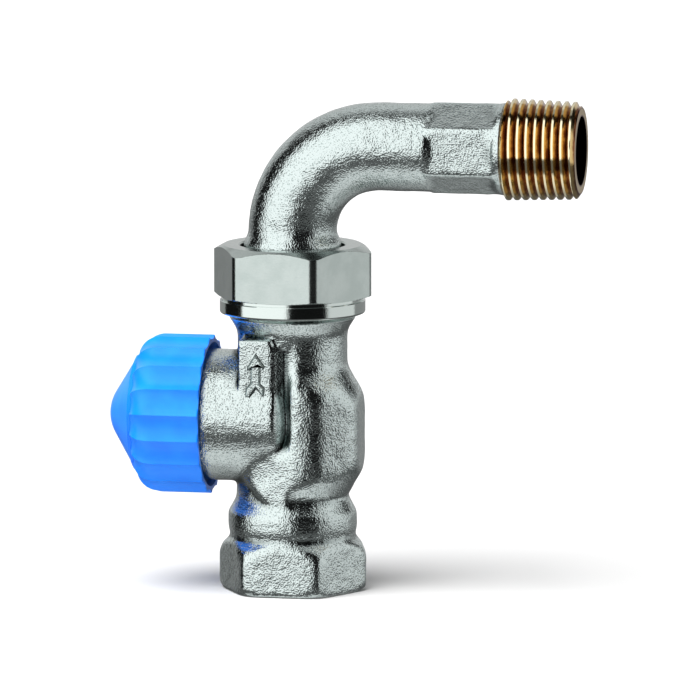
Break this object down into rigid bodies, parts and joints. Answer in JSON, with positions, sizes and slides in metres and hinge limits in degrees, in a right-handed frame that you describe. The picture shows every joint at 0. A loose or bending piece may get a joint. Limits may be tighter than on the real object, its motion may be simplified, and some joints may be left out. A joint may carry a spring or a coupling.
{
  "type": "radiator valve",
  "caption": "Straight radiator valve with inlet hexagon, bonnet under a fluted protective cap, union nut, and a union tail bent by a right angle to a male pipe thread.",
  "frame": {"origin": "centre of the inlet mouth, on the bottom face of the inlet hexagon", "axes": "+Z along the flow line, from the inlet to the union; +X the way the tail bends; the bonnet points to -X"},
  "size_m": [0.0996, 0.0332, 0.1037],
  "materials": {
    "nickel_casting": "nickel plated, rough cast",
    "nickel_turned": "nickel plated, satin",
    "brass_turned": "turned, satin",
    "stainless": "satin",
    "rubber": "matte",
    "fibre_gasket": "matte",
    "blue_plastic": "satin"
  },
  "bodies": {
    "valve_body": {"valve_body": "nickel_casting", "union_gasket": "fibre_gasket", "insert_housing": "brass_turned", "insert_o_ring": "rubber", "spring_seat_washer": "stainless", "return_spring": "stainless", "gland_nut": "brass_turned", "gland_outer_o_ring": "rubber", "gland_pin_o_ring": "rubber", "gland_guide_washer": "brass_turned"},
    "spindle": {"valve_stem": "brass_turned", "spring_cup": "stainless", "stem_circlip": "stainless", "disc_carrier": "brass_turned", "seat_disc": "rubber", "disc_washer": "stainless", "disc_nut": "brass_turned", "pressure_pin": "stainless"},
    "cap": {"protective_cap": "blue_plastic"},
    "tail": {"union_tail": "nickel_casting"},
    "nut": {"union_nut": "nickel_turned"}
  },
  "joints": [
    {"name": "spindle_slide", "type": "slide", "parent": "valve_body", "child": "spindle", "axis": [1, 0, 0], "range_m": [0, 0.002], "deforming": ["return_spring"]},
    {"name": "cap_turn", "type": "hinge", "parent": "spindle", "child": "cap", "pos_m": [-0.025, 0, 0.0363], "axis": [1, 0, 0], "range_deg": [0, 480]},
    {"name": "tail_swivel", "type": "hinge", "parent": "valve_body", "child": "tail", "pos_m": [0, 0, 0.0661], "axis": [0, 0, 1], "continuous": true},
    {"name": "union_nut_turn", "type": "hinge", "parent": "valve_body", "child": "nut", "pos_m": [0, 0, 0.065], "axis": [0, 0, 1], "continuous": true}
  ],
  "couplings": [
    {"joint": "spindle_slide", "follows": "cap_turn", "m_per_rad": 0.0002387}
  ]
}
